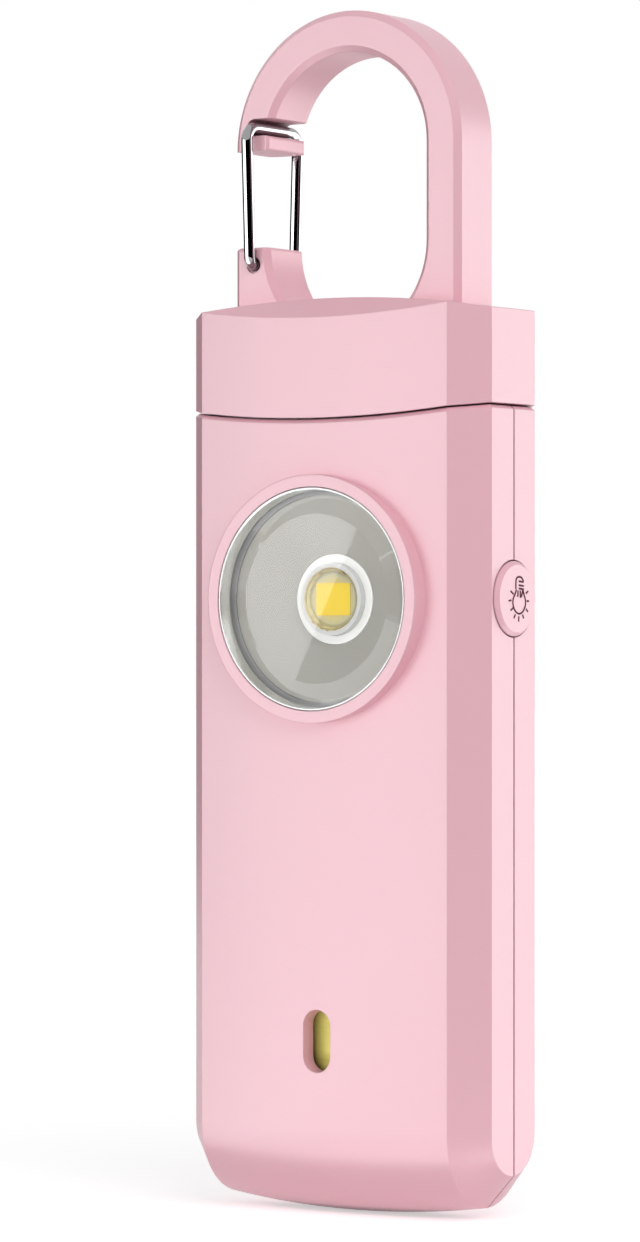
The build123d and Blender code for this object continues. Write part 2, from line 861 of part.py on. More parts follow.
def loop_plate():
    """The carabiner's ring, bevelled along every edge of its two faces, before it is cut for the gate."""
    outer = Pos(0, loop_upper_height) * Circle(loop_half_width)
    outer += Pos(0, (loop_upper_height + loop_foot_height) / 2) * Rectangle(
        2 * loop_half_width, loop_upper_height - loop_foot_height
    )
    middle = (loop_upper_height + loop_lower_height) / 2
    eye_length = loop_upper_height - loop_lower_height + 2 * loop_inner_half_width
    inner = Pos(0, middle) * SlotOverall(eye_length, 2 * loop_inner_half_width, rotation=quarter_turn)
    plate = extrude(Plane.XZ * (outer - inner), amount=loop_half_depth, both=True)
    faces = plate.faces().sort_by(Axis.Y)
    edges = faces[0].edges() + faces[-1].edges()
    return plate.chamfer(loop_bevel, None, edges)


def gate_hole(side):
    """The hole in a face of the stub for one end of the wire, with a shallow seat for its bend."""
    face = loop_half_depth
    hole_ends = sorted((side * (face - gate_hole_depth), side * (face + overrun)))
    seat_ends = sorted((side * (face - gate_seat_depth), side * (face + overrun)))
    hole = rod_y(gate_x, gate_pivot_height, wire_radius + running_clearance, *hole_ends)
    return hole + rod_y(gate_x, gate_pivot_height, gate_seat_radius, *seat_ends)


def nose_slot():
    """The slot in the upper limb that takes the gate's bar, open towards the inside of the loop."""
    low = loop_upper_height + tongue_height
    radius = nose_slot_height / 2
    back = -loop_half_width + nose_slot_back + radius
    reach = loop_half_depth + overrun
    return block(back, 0, -reach, reach, low, low + nose_slot_height) + rod_y(
        back, low + radius, radius, -reach, reach
    )


def tongue(x_high, half_depth):
    """A block below the slot, from the middle of the bar to this far inwards."""
    low = loop_upper_height
    return block(-loop_half_width + loop_bar / 2, x_high, -half_depth, half_depth, low, low + tongue_height)


def with_square_tongue(ring):
    """The tongue below the slot has no bevels: its free end is square, with small round edges."""
    free = tongue(-loop_inner_half_width, loop_half_depth)
    return ring - tongue(0, loop_half_depth + overrun) + fillet(free.faces().sort_by(Axis.X)[-1].edges(), limb_round)


def with_round_stub(ring):
    """The stub that carries the gate has a round edge all about its top."""
    top = loop_lower_height
    edges = [e for e in ring.edges() if e.center().X < 0 and abs(e.center().Z - top) < limb_round / 2]
    return fillet(edges, limb_round)


def carabiner_frame():
    reach = loop_half_depth + overrun
    arch = under_arc(cap_end_height, cap_crest_height, -overrun)
    gap = block(-loop_half_width - overrun, 0, -reach, reach, loop_lower_height, loop_upper_height)
    ring = with_round_stub((loop_plate() - arch) - gap)
    ring = with_square_tongue(ring - nose_slot())
    ring = ring - gate_hole(-1) - gate_hole(1)
    wide = loop_half_width
    foot = block(-wide, wide, -loop_half_depth, loop_half_depth, loop_foot_height, cap_crest_height) & arch
    tab_reach = wide + loop_tab_length
    inner = loop_inner_half_width
    tab_low = cap_roof_under_height - loop_tab_thickness
    for low, high in ((-tab_reach, -inner), (inner, tab_reach)):
        depth = loop_tab_half_depth
        foot += block(low, high, -depth, depth, tab_low, cap_roof_under_height)
    return ring + foot


def wire_gate():
    """One wire: two legs that draw together towards the pivot, a bar across the top, and two turned-in ends."""
    inner = gate_foot_half_width - gate_pin_reach
    points = [
        (-inner, gate_pivot_height),
        (-gate_foot_half_width, gate_pivot_height),
        (-gate_top_half_width, gate_bar_height),
        (gate_top_half_width, gate_bar_height),
        (gate_foot_half_width, gate_pivot_height),
        (inner, gate_pivot_height),
    ]
    bends = [gate_foot_bend, gate_top_bend, gate_top_bend, gate_foot_bend]
    path = Pos(gate_x, 0, 0) * (Plane.YZ * FilletPolyline(*points, radius=bends))
    section = Plane(path @ 0, z_dir=path % 0) * Circle(wire_radius)
    return sweep(section, path=path)


def build():
    return {
        "front_shell": front_shell(),
        "rear_shell": rear_shell(),
        "case_screws": case_screws(),
        "lens_retaining_ring": lens_retaining_ring(),
        "lens_window": lens_window(),
        "lens_gasket": lens_gasket(),
        "reflector_cup": reflector_cup(),
        "led_collar": led_collar(),
        "led_base": led_base(),
        "led_phosphor": led_phosphor(),
        "led_dome": led_dome(),
        "led_board": led_board(),
        "led_pins": led_pins(),
        "sounder_disc": sounder_disc(),
        "sounder_ceramic": sounder_ceramic(),
        "sounder_retainer": sounder_retainer(),
        "sounder_contacts": sounder_contacts(),
        "main_board": main_board(),
        "control_chips": control_chips(),
        "siren_coil": siren_coil(),
        "charge_port": charge_port(),
        "charge_port_tongue": charge_port_tongue(),
        "battery_cell": battery_cell(),
        "battery_pad": battery_pad(),
        "battery_circuit": battery_circuit(),
        "light_switch": light_switch(),
        "siren_switch": siren_switch(),
        "pin_socket": pin_socket(),
        "light_button": light_button(),
        "light_plunger": light_plunger(),
        "siren_plunger": siren_plunger(),
        "top_cap": top_cap(),
        "cap_base": cap_base(),
        "cap_screws": cap_screws(),
        "pull_pin": pull_pin(),
        "carabiner_frame": carabiner_frame(),
        "wire_gate": wire_gate(),
    }


os.makedirs("parts", exist_ok=True)
for name, piece in build().items():
    export_step(piece, f"parts/{name}.step")
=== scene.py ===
import json
import math

import bpy
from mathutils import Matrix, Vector


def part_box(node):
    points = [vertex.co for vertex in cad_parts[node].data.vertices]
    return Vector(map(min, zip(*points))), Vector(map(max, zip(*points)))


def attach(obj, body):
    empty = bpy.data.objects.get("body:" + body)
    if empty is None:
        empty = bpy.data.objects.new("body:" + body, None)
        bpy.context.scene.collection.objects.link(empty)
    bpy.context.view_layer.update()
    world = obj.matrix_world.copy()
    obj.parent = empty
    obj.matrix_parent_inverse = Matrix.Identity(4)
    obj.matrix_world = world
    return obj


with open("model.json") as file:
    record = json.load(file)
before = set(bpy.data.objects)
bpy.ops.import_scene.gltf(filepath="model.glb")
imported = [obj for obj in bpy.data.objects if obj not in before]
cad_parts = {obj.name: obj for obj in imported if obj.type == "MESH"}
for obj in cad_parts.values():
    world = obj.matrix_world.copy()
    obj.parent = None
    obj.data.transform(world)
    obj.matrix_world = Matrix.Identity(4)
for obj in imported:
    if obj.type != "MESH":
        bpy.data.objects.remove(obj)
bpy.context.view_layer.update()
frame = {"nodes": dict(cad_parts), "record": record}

# Lengths are in metres, angles in degrees. The part stands on the floor at z = 0, facing -Y.
MM = 0.001

# Sockets of a colour mix, whose names repeat in its other modes
MIX_FIRST = 6
MIX_SECOND = 7
MIX_RESULT = 2

SEEING_RAYS = ("Is Camera Ray", "Is Glossy Ray", "Is Transmission Ray")


# Node helpers
def new_material(name):
    material = bpy.data.materials.new(name)
    material.use_nodes = True
    tree = material.node_tree
    tree.nodes.clear()
    output = tree.nodes.new("ShaderNodeOutputMaterial")
    return material, tree, output


def add(tree, kind, **sockets):
    """A node with some of its sockets set, each named with _ for a space."""
    node = tree.nodes.new(kind)
    for key, value in sockets.items():
        node.inputs[key.replace("_", " ")].default_value = value
    return node


def shader(tree, output, color, roughness, **more):
    node = add(tree, "ShaderNodeBsdfPrincipled", Base_Color=(*color, 1), Roughness=roughness, **more)
    tree.links.new(node.outputs["BSDF"], output.inputs["Surface"])
    return node


def position(tree):
    return tree.nodes.new("ShaderNodeTexCoord").outputs["Object"]


def noise(tree, scale, detail=3.0, vector=None):
    node = add(tree, "ShaderNodeTexNoise", Scale=scale, Detail=detail)
    tree.links.new(vector if vector else position(tree), node.inputs["Vector"])
    return node.outputs["Fac"]


def remap(tree, value, low, high, from_low=0.3, from_high=0.7):
    """A value carried over to another range, by default from the one that most of a noise fills."""
    node = add(tree, "ShaderNodeMapRange", From_Min=from_low, From_Max=from_high, To_Min=low, To_Max=high)
    tree.links.new(value, node.inputs["Value"])
    return node.outputs["Result"]


def tint(tree, value, first, second):
    """A colour between two, as a value goes from 0 to 1."""
    node = tree.nodes.new("ShaderNodeMix")
    node.data_type = "RGBA"
    node.inputs[MIX_FIRST].default_value = (*first, 1)
    node.inputs[MIX_SECOND].default_value = (*second, 1)
    tree.links.new(value, node.inputs["Factor"])
    return node.outputs[MIX_RESULT]


def bump(tree, bsdf, height, strength, distance):
    node = add(tree, "ShaderNodeBump", Strength=strength, Distance=distance)
    tree.links.new(height, node.inputs["Height"])
    tree.links.new(node.outputs["Normal"], bsdf.inputs["Normal"])
    return node


def vector_math(tree, operation, value, other=None):
    """A vector worked out from another vector and, where the operation needs it, a constant one."""
    node = tree.nodes.new("ShaderNodeVectorMath")
    node.operation = operation
    tree.links.new(value, node.inputs[0])
    if other is not None:
        node.inputs[1].default_value = other
    return node


def for_rays(tree, *rays):
    """1 for these kinds of ray and 0 for others."""
    path = tree.nodes.new("ShaderNodeLightPath")
    result = path.outputs[rays[0]]
    for ray in rays[1:]:
        either = tree.nodes.new("ShaderNodeMath")
        either.operation = "MAXIMUM"
        tree.links.new(result, either.inputs[0])
        tree.links.new(path.outputs[ray], either.inputs[1])
        result = either.outputs[0]
    return result


def banded(tree, value, bands):
    """A colour that follows a value through (place, colour) steps."""
    ramp = tree.nodes.new("ShaderNodeValToRGB")
    while len(ramp.color_ramp.elements) < len(bands):
        ramp.color_ramp.elements.new(1.0)
    for element, (place, color) in zip(ramp.color_ramp.elements, bands):
        element.position = place
        element.color = (*color, 1)
    tree.links.new(value, ramp.inputs["Fac"])
    return ramp.outputs["Color"]


# Surface grain
DRIFT_SCALE = 60.0
GRAIN_SPREAD = 0.05
GRAIN_SCALE = 900.0
GRAIN_DEPTH = 0.00001
GRAIN_DETAIL = 4.0
GRAIN_BUMP = 0.3
EDGE_SAMPLES = 6
METAL_DRIFT = 0.94
METAL_GRAIN = 1500.0
METAL_DEPTH = 0.000003
MARK_SCALE = 300.0
MARK_BUMP = 0.2
MARK_DEPTH = 0.000004
MARK_SHINE = 0.05
MARK_DULL = 0.1


def grained(tree, bsdf, roughness, spread=GRAIN_SPREAD, grain=GRAIN_SCALE, depth=GRAIN_DEPTH, edge=0.0):
    """A fine grain and, with an edge radius, edges that catch the light."""
    fine = noise(tree, grain, GRAIN_DETAIL)
    tree.links.new(remap(tree, fine, roughness - spread, roughness + spread), bsdf.inputs["Roughness"])
    relief = bump(tree, bsdf, fine, GRAIN_BUMP, depth)
    if edge:
        rounded = add(tree, "ShaderNodeBevel", Radius=edge)
        rounded.samples = EDGE_SAMPLES
        tree.links.new(rounded.outputs["Normal"], relief.inputs["Normal"])


def speckled(name, color, other, roughness, surface, **more):
    """A solid material whose colour drifts a little between two, with a fine grain."""
    material, tree, output = new_material(name)
    bsdf = shader(tree, output, color, roughness, **more)
    tree.links.new(tint(tree, noise(tree, DRIFT_SCALE), color, other), bsdf.inputs["Base Color"])
    grained(tree, bsdf, roughness, **surface)
    return material


def metal(name, color, roughness, spread=GRAIN_SPREAD):
    other = tuple(c * METAL_DRIFT for c in color)
    surface = dict(spread=spread, grain=METAL_GRAIN, depth=METAL_DEPTH)
    return speckled(name, color, other, roughness, surface, Metallic=1.0)


def brushed(name, color, roughness, stretch):
    """Metal with fine marks that run one way."""
    material, tree, output = new_material(name)
    bsdf = shader(tree, output, color, roughness, Metallic=1.0)
    mapping = add(tree, "ShaderNodeMapping", Scale=stretch)
    tree.links.new(position(tree), mapping.inputs["Vector"])
    marks = noise(tree, MARK_SCALE, GRAIN_DETAIL, mapping.outputs["Vector"])
    dulled = remap(tree, marks, roughness - MARK_SHINE, roughness + MARK_DULL)
    tree.links.new(dulled, bsdf.inputs["Roughness"])
    bump(tree, bsdf, marks, MARK_BUMP, MARK_DEPTH)
    return material


# Pink plastic
PINK = (0.870, 0.505, 0.575)
PINK_DRIFT = (0.860, 0.490, 0.560)
# Colour of the painted shade in seams and gaps
CREVICE_SHADE = (0.15, 0.02, 0.05)
CREVICE_REACH = 0.0012
CREVICE_SAMPLES = 8
CREVICE_CLOSED = 0.05
CREVICE_OPEN = 0.38


def paint_crevice_shade(material, color, reach):
    """Painted shade: a darker colour in seams and gaps, where light hardly gets in."""
    tree = material.node_tree
    bsdf = tree.nodes["Principled BSDF"]
    plain = bsdf.inputs["Base Color"].links[0].from_socket
    occlusion = add(tree, "ShaderNodeAmbientOcclusion", Distance=reach)
    occlusion.samples = CREVICE_SAMPLES
    openness = remap(tree, occlusion.outputs["AO"], 0.0, 1.0, CREVICE_CLOSED, CREVICE_OPEN)
    mix = tree.nodes.new("ShaderNodeMix")
    mix.data_type = "RGBA"
    mix.inputs[MIX_FIRST].default_value = (*color, 1)
    tree.links.new(openness, mix.inputs["Factor"])
    tree.links.new(plain, mix.inputs[MIX_SECOND])
    tree.links.new(mix.outputs[MIX_RESULT], bsdf.inputs["Base Color"])


def pink_plastic():
    """Satin plastic that lets a little light in, with painted shade in its seams."""
    surface = dict(spread=0.03, grain=2600.0, depth=0.000002, edge=0.00013)
    inside = dict(Subsurface_Weight=0.12, Subsurface_Radius=(1.0, 0.45, 0.45), Subsurface_Scale=0.0006)
    material = speckled("pink_plastic", PINK, PINK_DRIFT, 0.36, surface, **inside)
    paint_crevice_shade(material, CREVICE_SHADE, CREVICE_REACH)
    return material


# Clear plastic
CLEAR_TINT = (0.985, 0.99, 0.985)
CLEAR_PASS = (0.99, 0.992, 0.99, 1)
CLEAR_INDEX = 1.49
CLEAR_GRAIN = 400.0
CLEAR_DETAIL = 2.0
CLEAR_SPREAD = 0.02
BORDER_TURN = 1.5
WINDOW_MIRROR = (0.5, 0.5, 0.5, 1)


def clear_plastic(name, roughness):
    """Clear plastic that lets lamps through to what lies behind it."""
    material, tree, output = new_material(name)
    bsdf = shader(tree, output, CLEAR_TINT, roughness, Transmission_Weight=1.0, IOR=CLEAR_INDEX)
    fine = noise(tree, CLEAR_GRAIN, CLEAR_DETAIL)
    tree.links.new(remap(tree, fine, roughness, roughness + CLEAR_SPREAD), bsdf.inputs["Roughness"])
    through = add(tree, "ShaderNodeBsdfTransparent", Color=CLEAR_PASS)
    mix = tree.nodes.new("ShaderNodeMixShader")
    tree.links.new(for_rays(tree, "Is Shadow Ray", "Is Diffuse Ray"), mix.inputs[0])
    tree.links.new(bsdf.outputs[0], mix.inputs[1])
    tree.links.new(through.outputs[0], mix.inputs[2])
    tree.links.new(mix.outputs[0], output.inputs["Surface"])
    return material


def torch_window():
    """The clear window, whose bevelled border turns what it mirrors further aside."""
    material = clear_plastic("torch_window", 0.0)
    tree = material.node_tree
    bsdf = tree.nodes["Principled BSDF"]
    normal = tree.nodes.new("ShaderNodeNewGeometry").outputs["Normal"]
    tilted = vector_math(tree, "MULTIPLY", normal, (BORDER_TURN, 1, BORDER_TURN))
    unit = vector_math(tree, "NORMALIZE", tilted.outputs[0])
    tree.links.new(unit.outputs[0], bsdf.inputs["Normal"])
    bsdf.inputs["Specular Tint"].default_value = WINDOW_MIRROR
    return material


# Ring
# The front land's darker colour is painted shade; the walls keep the plating's own colour
RING_LAND_SHADE = (0.22, 0.22, 0.22)
RING_WALL = (0.85, 0.86, 0.85)
RING_LAND_NORMAL = -0.95
RING_WALL_NORMAL = -0.6
RING_ROUGHNESS = 0.14


def silver_ring():
    """Plated metal, bright on its walls, with painted shade making the ring's front land darker."""
    material, tree, output = new_material("silver_ring")
    bsdf = shader(tree, output, RING_WALL, RING_ROUGHNESS, Metallic=1.0)
    faces = tree.nodes.new("ShaderNodeSeparateXYZ")
    tree.links.new(tree.nodes.new("ShaderNodeNewGeometry").outputs["Normal"], faces.inputs[0])
    turned = remap(tree, faces.outputs["Y"], 0.0, 1.0, RING_LAND_NORMAL, RING_WALL_NORMAL)
    tree.links.new(tint(tree, turned, RING_LAND_SHADE, RING_WALL), bsdf.inputs["Base Color"])
    grained(tree, bsdf, RING_ROUGHNESS, spread=0.03, grain=METAL_GRAIN, depth=METAL_DEPTH, edge=0.00016)
    return material


# Lamp
# Colours from the lamp's axis outwards, by share of its radius: gel, cup wall, rim. The gel's yellow fading
# outwards is painted glow, and the dark bands on the cup wall are painted shade.
LAMP_RINGS_WITH_PAINTED_LIGHT = [
    (0.0, (0.96, 0.74, 0.10)),
    (0.50, (0.92, 0.74, 0.18)),
    (0.66, (0.80, 0.72, 0.34)),
    (0.725, (0.50, 0.44, 0.18)),
    (0.76, (0.88, 0.76, 0.30)),
    (0.80, (0.92, 0.84, 0.48)),
    (0.835, (0.60, 0.50, 0.18)),
    (0.865, (0.92, 0.80, 0.40)),
    (0.885, (0.72, 0.72, 0.71)),
    (1.0, (0.80, 0.80, 0.79)),
]
LAMP_ROUGHNESS = 0.35


def from_axis(tree, node):
    """How far a point lies from the torch's axis, as a share of this round node's radius."""
    low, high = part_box(node)
    radius = (high[0] - low[0]) / 2
    centred = vector_math(tree, "SUBTRACT", position(tree), (0, 0, (low[2] + high[2]) / 2))
    flat = vector_math(tree, "MULTIPLY", centred.outputs[0], (1 / radius, 0, 1 / radius))
    return vector_math(tree, "LENGTH", flat.outputs[0]).outputs["Value"]


def lamp_body():
    """Ceramic with the gel's yellow painted over its cup as glow, dark bands of painted shade on the cup
    wall, and a grey moulded rim.
    """
    rim_color = LAMP_RINGS_WITH_PAINTED_LIGHT[-1][1]
    material, tree, output = new_material("lamp_body")
    bsdf = shader(tree, output, rim_color, LAMP_ROUGHNESS)
    tree.links.new(banded(tree, from_axis(tree, "led_base"), LAMP_RINGS_WITH_PAINTED_LIGHT), bsdf.inputs["Base Color"])
    grained(tree, bsdf, LAMP_ROUGHNESS)
    return material


# Plain materials
# Each has two colours that it drifts between, a roughness and, where it isn't the usual one, its grain.
PLAIN = {
    "reflector": (
        (0.46, 0.46, 0.45), (0.49, 0.46, 0.38), 0.5, dict(spread=0.02, grain=300.0, depth=0.0000001),
    ),
    "soft_grey": ((0.45, 0.46, 0.46), (0.40, 0.41, 0.41), 0.6, {}),
    # The symbol's near-black colour is painted shade along the light bulb's embossed lines
    "symbol_pink": (
        (0.09, 0.012, 0.03), (0.12, 0.02, 0.045), 0.9, dict(spread=0.04, grain=2600.0, depth=0.000002),
    ),
    "foam_grey": (
        (0.18, 0.18, 0.19), (0.24, 0.24, 0.25), 0.95, dict(spread=0.03, grain=700.0, depth=0.0001),
    ),
    "white_plastic": ((0.93, 0.93, 0.91), (0.90, 0.90, 0.88), 0.4, {}),
    "white_ceramic": ((0.86, 0.85, 0.80), (0.80, 0.79, 0.74), 0.3, {}),
    "aluminium_board": ((0.88, 0.88, 0.86), (0.84, 0.84, 0.83), 0.35, {}),
    "green_board": ((0.015, 0.16, 0.06), (0.02, 0.20, 0.08), 0.3, {}),
    "black_epoxy": ((0.02, 0.02, 0.02), (0.03, 0.03, 0.03), 0.5, {}),
    "dark_ferrite": ((0.05, 0.05, 0.055), (0.07, 0.07, 0.075), 0.6, {}),
    "black_plastic": ((0.03, 0.03, 0.03), (0.04, 0.04, 0.04), 0.45, {}),
}


def phosphor():
    """The lamp's yellow gel, which also glows a little in daylight."""
    glow = dict(Emission_Color=(1.0, 0.74, 0.0, 1), Emission_Strength=0.3, Specular_IOR_Level=0.05)
    return speckled("yellow_phosphor", (0.98, 0.68, 0.008), (0.95, 0.65, 0.006), 0.45, {}, **glow)


def lamp_white():
    """The collar's translucent white, brightened by a faint glow that is painted light."""
    # Painted light: a faint glow, though the lamp is off
    glow = dict(Emission_Color=(1.0, 1.0, 0.97, 1), Emission_Strength=0.15)
    return speckled("lamp_white", (0.97, 0.97, 0.95), (0.95, 0.95, 0.93), 0.4, {}, **glow)


def silver_pouch():
    """The cell's foil, crinkled a little."""
    surface = dict(spread=0.06, grain=300.0, depth=0.00005)
    return speckled("silver_pouch", (0.66, 0.67, 0.69), (0.60, 0.61, 0.63), 0.35, surface, Metallic=0.8)


MATERIALS = {
    "pink_plastic": pink_plastic(),
    "torch_window": torch_window(),
    "clear_dome": clear_plastic("clear_dome", 0.02),
    "silver_ring": silver_ring(),
    "lamp_body": lamp_body(),
    "lamp_white": lamp_white(),
    "yellow_phosphor": phosphor(),
    "silver_pouch": silver_pouch(),
    "chrome_wire": metal("chrome_wire", (0.34, 0.34, 0.35), 0.05, spread=0.02),
    "gold_contact": metal("gold_contact", (0.90, 0.70, 0.35), 0.22),
    "screw_steel": metal("screw_steel", (0.40, 0.40, 0.41), 0.3),
    "steel_shell": brushed("steel_shell", (0.68, 0.68, 0.69), 0.28, stretch=(1, 8, 8)),
    "brass_disc": brushed("brass_disc", (0.29, 0.265, 0.075), 0.55, stretch=(1, 1, 12)),
    "steel_pin": brushed("steel_pin", (0.72, 0.72, 0.73), 0.25, stretch=(1, 1, 12)),
}
for name, look in PLAIN.items():
    MATERIALS[name] = speckled(name, *look)

# Nodes whose look isn't their slot's plain one
FINISH = {
    "lens_retaining_ring": "silver_ring",
    "reflector_cup": "reflector",
    "lens_window": "torch_window",
    "led_base": "lamp_body",
    "led_collar": "lamp_white",
    "led_dome": "clear_dome",
}

for entry in frame["record"]["subparts"]:
    node = frame["nodes"][entry["node"]]
    material = MATERIALS[FINISH.get(entry["node"], entry["material_slot"])]
    node.data.materials.clear()
    node.data.materials.append(material)


# Signs
# The light bulb on the button, upside down, in millimetres across (y) and up (z) from the button's centre.
BULB_GLASS = [(-0.20, 0.78), (-0.42, 0.36), (-0.74, 0.02), (-0.82, -0.45), (-0.52, -1.00), (0.00, -1.30),
              (0.52, -1.30), (1.04, -1.00), (1.34, -0.45), (1.26, 0.02), (1.00, 0.36), (0.88, 0.78)]
BULB_BASE = [(-0.30, 0.84), (-0.30, 1.40), (-0.22, 1.78), (0.30, 1.92), (0.78, 1.78), (0.94, 1.50)]
BULB_THREADS = [[(0.20, 1.50), (0.94, 1.44)], [(0.20, 1.16), (0.96, 1.10)], [(0.20, 0.88), (0.96, 0.82)]]
BULB_NECK = [[(0.06, 0.70), (0.02, 0.14)], [(0.42, 0.70), (0.45, 0.06)], [(0.82, 0.70), (0.62, 0.14)]]
BULB_RAYS = [
    [(-1.16, 0.65), (-0.70, 0.40)], [(-1.46, -0.20), (-1.08, -0.15)], [(-1.16, -1.02), (-0.76, -0.82)],
    [(-0.62, -1.68), (-0.38, -1.38)], [(0.17, -1.98), (0.20, -1.52)], [(0.98, -1.68), (0.80, -1.38)],
    [(1.66, -1.11), (1.38, -0.88)], [(1.80, -0.20), (1.54, -0.20)], [(1.70, 0.65), (1.36, 0.45)],
]
BULB_LINE = 0.1
BULB_DEPTH = BULB_LINE / 3


def place(name, data):
    """An object in the scene, made of this data."""
    piece = bpy.data.objects.new(name, data)
    bpy.context.scene.collection.objects.link(piece)
    return piece


def lines_curve(name, strokes, smooth_strokes, radius):
    """Round lines in the YZ plane, in millimetres: straight strokes and ones smoothed along their points."""
    curve = bpy.data.curves.new(name, "CURVE")
    curve.dimensions = "3D"
    curve.bevel_depth = radius * MM
    curve.bevel_resolution = 2
    curve.use_fill_caps = True
    for points in strokes + smooth_strokes:
        spline = curve.splines.new("POLY" if points in strokes else "NURBS")
        spline.points.add(len(points) - 1)
        for point, (y, z) in zip(spline.points, points):
            point.co = (0, y * MM, z * MM, 1)
        if spline.type == "NURBS":
            spline.order_u = 3
            spline.use_endpoint_u = True
            spline.resolution_u = 4
    return place(name, curve)


def button_symbol():
    """The light bulb, in round lines whose centres lie just under the button's face, coloured near-black as
    painted shade of the embossing.
    """
    low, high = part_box("light_button")
    strokes = BULB_THREADS + BULB_NECK + BULB_RAYS
    piece = lines_curve("button_symbol", strokes, [BULB_GLASS, BULB_BASE], BULB_LINE)
    piece.location = (high[0] - BULB_DEPTH * MM, 0, (low[2] + high[2]) / 2)
    piece.data.materials.append(MATERIALS["symbol_pink"])
    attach(piece, "light_button")


button_symbol()


# Places about the object
# An azimuth is counted from the front, -Y, towards the button's side, +X.
CAMERA_AZIMUTH = 33.78
CAMERA_DISTANCE = 0.439
CAMERA_ACROSS = -0.0038
CAMERA_HEIGHT = 0.04913
PHOTO_FOCAL = 5000
PHOTO_CENTRE = 320
PHOTO_HORIZON = 650
PHOTO_HEIGHT = 1242


def heading(azimuth):
    """The level direction from the object's axis towards an azimuth."""
    angle = math.radians(azimuth)
    return Vector((math.sin(angle), -math.cos(angle), 0))


def camera_place():
    across = heading(CAMERA_AZIMUTH + 90) * CAMERA_ACROSS
    return heading(CAMERA_AZIMUTH) * CAMERA_DISTANCE + across + Vector((0, 0, CAMERA_HEIGHT))


# Floor
# Its glow and its bounce each change between a start and an end, counted from the object's axis.
FLOOR_COLOR = (0.8, 0.8, 0.8, 1)
FLOOR_REACH = 3.0
FLOOR_DROP = 0.00005
GLOW_NEAR = 0.515
GLOW_FAR = 0.67
GLOW_START = 0.05
GLOW_END = 0.4
BOUNCE_NEAR = 0.2
BOUNCE_FAR = 0.0
BOUNCE_START = 0.02
BOUNCE_END = 0.09


def make_floor():
    """A pale floor, white to the camera, that keeps the object's shadow and brightens with distance."""
    mesh = bpy.data.meshes.new("floor")
    corners = [(x * FLOOR_REACH, y * FLOOR_REACH, 0) for x, y in ((-1, -1), (1, -1), (1, 1), (-1, 1))]
    mesh.from_pydata(corners, [], [(0, 1, 2, 3)])
    floor = place("floor", mesh)
    floor.location.z = -FLOOR_DROP
    material, tree, output = new_material("floor")
    diffuse = add(tree, "ShaderNodeBsdfDiffuse", Color=FLOOR_COLOR)
    glow = add(tree, "ShaderNodeEmission", Color=(1, 1, 1, 1))
    away = vector_math(tree, "LENGTH", position(tree)).outputs["Value"]
    fade = remap(tree, away, GLOW_NEAR, GLOW_FAR, GLOW_START, GLOW_END)
    bounce = remap(tree, away, BOUNCE_NEAR, BOUNCE_FAR, BOUNCE_START, BOUNCE_END)
    strength = tree.nodes.new("ShaderNodeMapRange")
    tree.links.new(for_rays(tree, *SEEING_RAYS), strength.inputs["Value"])
    tree.links.new(bounce, strength.inputs["To Min"])
    tree.links.new(fade, strength.inputs["To Max"])
    tree.links.new(strength.outputs["Result"], glow.inputs["Strength"])
    both = tree.nodes.new("ShaderNodeAddShader")
    tree.links.new(diffuse.outputs[0], both.inputs[0])
    tree.links.new(glow.outputs[0], both.inputs[1])
    tree.links.new(both.outputs[0], output.inputs["Surface"])
    mesh.materials.append(material)


# World and lamp
FILL_AZIMUTH = 50
FILL_AHEAD = 0.63
FILL_BEHIND = 0.42
LAMP_TARGET = Vector((0, 0, 0.05))


def make_world():
    """White to the camera and in reflections, and a soft fill from one side on everything else."""
    world = bpy.data.worlds.new("studio")
    bpy.context.scene.world = world
    world.use_nodes = True
    tree = world.node_tree
    tree.nodes.clear()
    output = tree.nodes.new("ShaderNodeOutputWorld")
    background = add(tree, "ShaderNodeBackground", Color=(1, 1, 1, 1))
    direction = tree.nodes.new("ShaderNodeTexCoord").outputs["Generated"]
    toward = vector_math(tree, "DOT_PRODUCT", direction, heading(FILL_AZIMUTH))
    fill = remap(tree, toward.outputs["Value"], FILL_BEHIND, FILL_AHEAD, -1.0, 1.0)
    strength = tree.nodes.new("ShaderNodeMapRange")
    tree.links.new(for_rays(tree, *SEEING_RAYS), strength.inputs["Value"])
    tree.links.new(fill, strength.inputs["To Min"])
    tree.links.new(strength.outputs["Result"], background.inputs["Strength"])
    tree.links.new(background.outputs[0], output.inputs["Surface"])


def soft_lamp(name, azimuth, distance, height, size, power):
    """A soft lamp that faces the middle of the object and shows in no reflection."""
    data = bpy.data.lights.new(name, "AREA")
    data.shape = "SQUARE"
    data.size = size
    data.energy = power
    lamp = place(name, data)
    lamp.location = heading(azimuth) * distance + Vector((0, 0, height))
    lamp.rotation_mode = "QUATERNION"
    lamp.rotation_quaternion = (LAMP_TARGET - lamp.location).to_track_quat("-Z", "Y")
    lamp.visible_glossy = False


# Studio cards
CARD_DISTANCE = 0.6
CARD_LIFT = 0.0001
CARD_HEIGHT = 0.22
CARD_STEPS = 12
# Lines on the table, just outside the front and the right side, at which the table cards start
FRONT_LINE = [(-0.022, -0.012), (0.022, -0.012)]
RIGHT_LINE = [(0.021, -0.012), (0.021, 0.012)]
# Where the shade's slanting edge and its far corners lie in the photograph, in its pixels
SHADE_EDGE_TOP = (370.4, 494)
SHADE_EDGE_FOOT = (281, 715)
SHADE_WIDTH_TOP = 90
SHADE_WIDTH_FOOT = 170
SHADE_DISTANCE = 0.45
SHADE_STRENGTH = 0.5


def studio_card(name, vertices, faces, strength):
    """A card that only reflections see, black where its strength is 0."""
    mesh = bpy.data.meshes.new(name)
    mesh.from_pydata(vertices, [], faces)
    piece = place(name, mesh)
    material, tree, output = new_material(name)
    glow = add(tree, "ShaderNodeEmission", Color=(1, 1, 1, 1), Strength=strength)
    tree.links.new(glow.outputs[0], output.inputs["Surface"])
    mesh.materials.append(material)
    piece.visible_camera = False
    piece.visible_diffuse = False
    piece.visible_transmission = False
    piece.visible_volume_scatter = False
    piece.visible_shadow = False


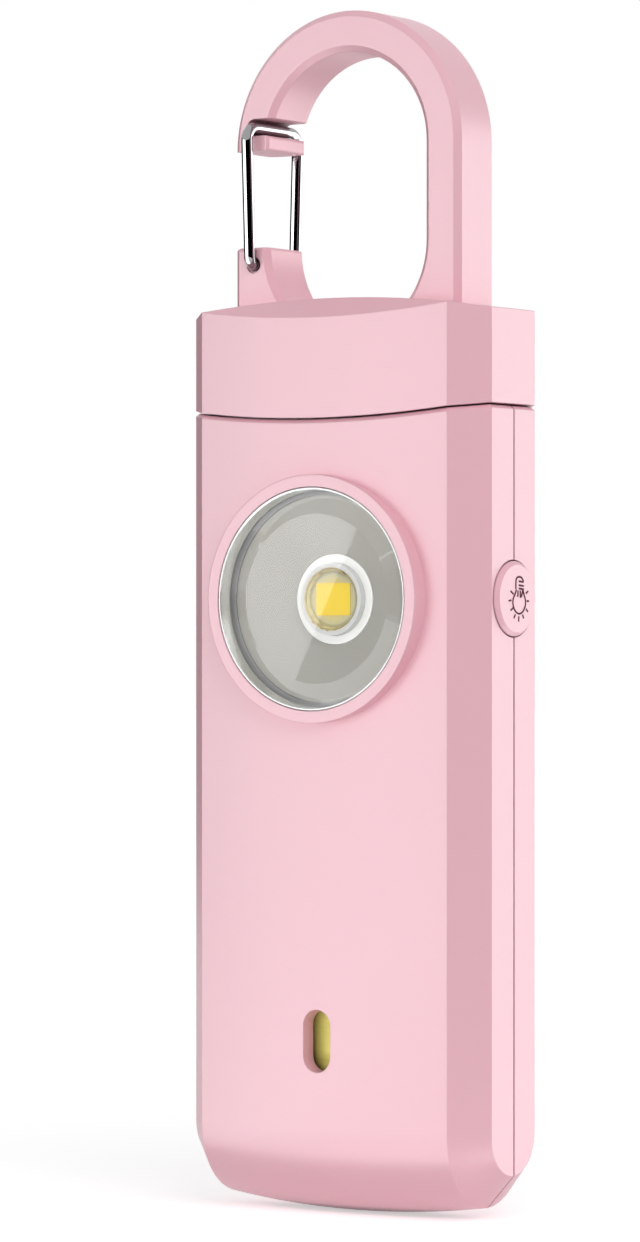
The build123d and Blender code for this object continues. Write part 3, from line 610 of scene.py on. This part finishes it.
def round_card(name, azimuths, strength):
    """A card bent about the object between two azimuths."""
    first, last = azimuths
    vertices = []
    for step in range(CARD_STEPS + 1):
        foot = heading(first + (last - first) * step / CARD_STEPS) * CARD_DISTANCE
        vertices += [foot, foot + Vector((0, 0, CARD_HEIGHT))]
    faces = [(2 * i, 2 * i + 2, 2 * i + 3, 2 * i + 1) for i in range(CARD_STEPS)]
    studio_card(name, vertices, faces, strength)


def table_card(name, line, azimuths, strength):
    """A card on the table that spreads from a line beside the object, out along two azimuths."""
    near = [Vector((x, y, CARD_LIFT)) for x, y in line]
    far = [point + heading(azimuth) * CARD_DISTANCE for point, azimuth in zip(near, azimuths)]
    studio_card(name, near + far, [(0, 1, 3, 2)], strength)


def in_window(x, y, reach):
    """Where a pixel of the photograph lands, this far away, when it is mirrored in the torch window."""
    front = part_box("lens_window")[0][1]
    sight = -heading(CAMERA_AZIMUTH) + heading(CAMERA_AZIMUTH + 90) * ((x - PHOTO_CENTRE) / PHOTO_FOCAL)
    sight.z = (PHOTO_HORIZON - y) / PHOTO_FOCAL
    eye = camera_place()
    mirrored = Vector((sight.x, -sight.y, sight.z)).normalized()
    return eye + sight * ((front - eye.y) / sight.y) + mirrored * reach


def window_shade():
    """A dimmer card whose slanting edge crosses the window's reflection."""
    far_foot = (SHADE_EDGE_FOOT[0] + SHADE_WIDTH_FOOT, SHADE_EDGE_FOOT[1])
    far_top = (SHADE_EDGE_TOP[0] + SHADE_WIDTH_TOP, SHADE_EDGE_TOP[1])
    corners = [SHADE_EDGE_TOP, SHADE_EDGE_FOOT, far_foot, far_top]
    vertices = [in_window(x, y, SHADE_DISTANCE) for x, y in corners]
    studio_card("window_shade", vertices, [(0, 1, 2, 3)], SHADE_STRENGTH)


# Studio
make_floor()
make_world()
soft_lamp("soft_right", azimuth=54, distance=0.45, height=0.35, size=0.35, power=0.90)
round_card("front_card_left", azimuths=(-62, -44), strength=5.2)
round_card("front_card", azimuths=(-44, -4), strength=6.7)
round_card("right_flag", azimuths=(-2, 122), strength=0.0)
round_card("side_card", azimuths=(124, 172), strength=4.5)
round_card("left_flag", azimuths=(-150, -64), strength=0.0)
table_card("front_table_card", FRONT_LINE, azimuths=(-62, -4), strength=5.2)
table_card("side_table_card", RIGHT_LINE, azimuths=(124, 172), strength=4.2)
window_shade()


# Camera
SENSOR = 36
CLIP_NEAR = 0.01
CLIP_FAR = 20


def make_camera():
    """The photograph's camera, level and shifted to its horizon."""
    data = bpy.data.cameras.new("camera")
    data.sensor_width = SENSOR
    data.lens = PHOTO_FOCAL / PHOTO_HEIGHT * data.sensor_width
    data.shift_y = (PHOTO_HORIZON - PHOTO_HEIGHT / 2) / PHOTO_HEIGHT
    data.clip_start = CLIP_NEAR
    data.clip_end = CLIP_FAR
    camera = place("camera", data)
    camera.location = camera_place()
    camera.rotation_mode = "QUATERNION"
    camera.rotation_quaternion = (-heading(CAMERA_AZIMUTH)).to_track_quat("-Z", "Y")
    bpy.context.scene.camera = camera


make_camera()
bpy.context.scene.view_settings.view_transform = "Standard"
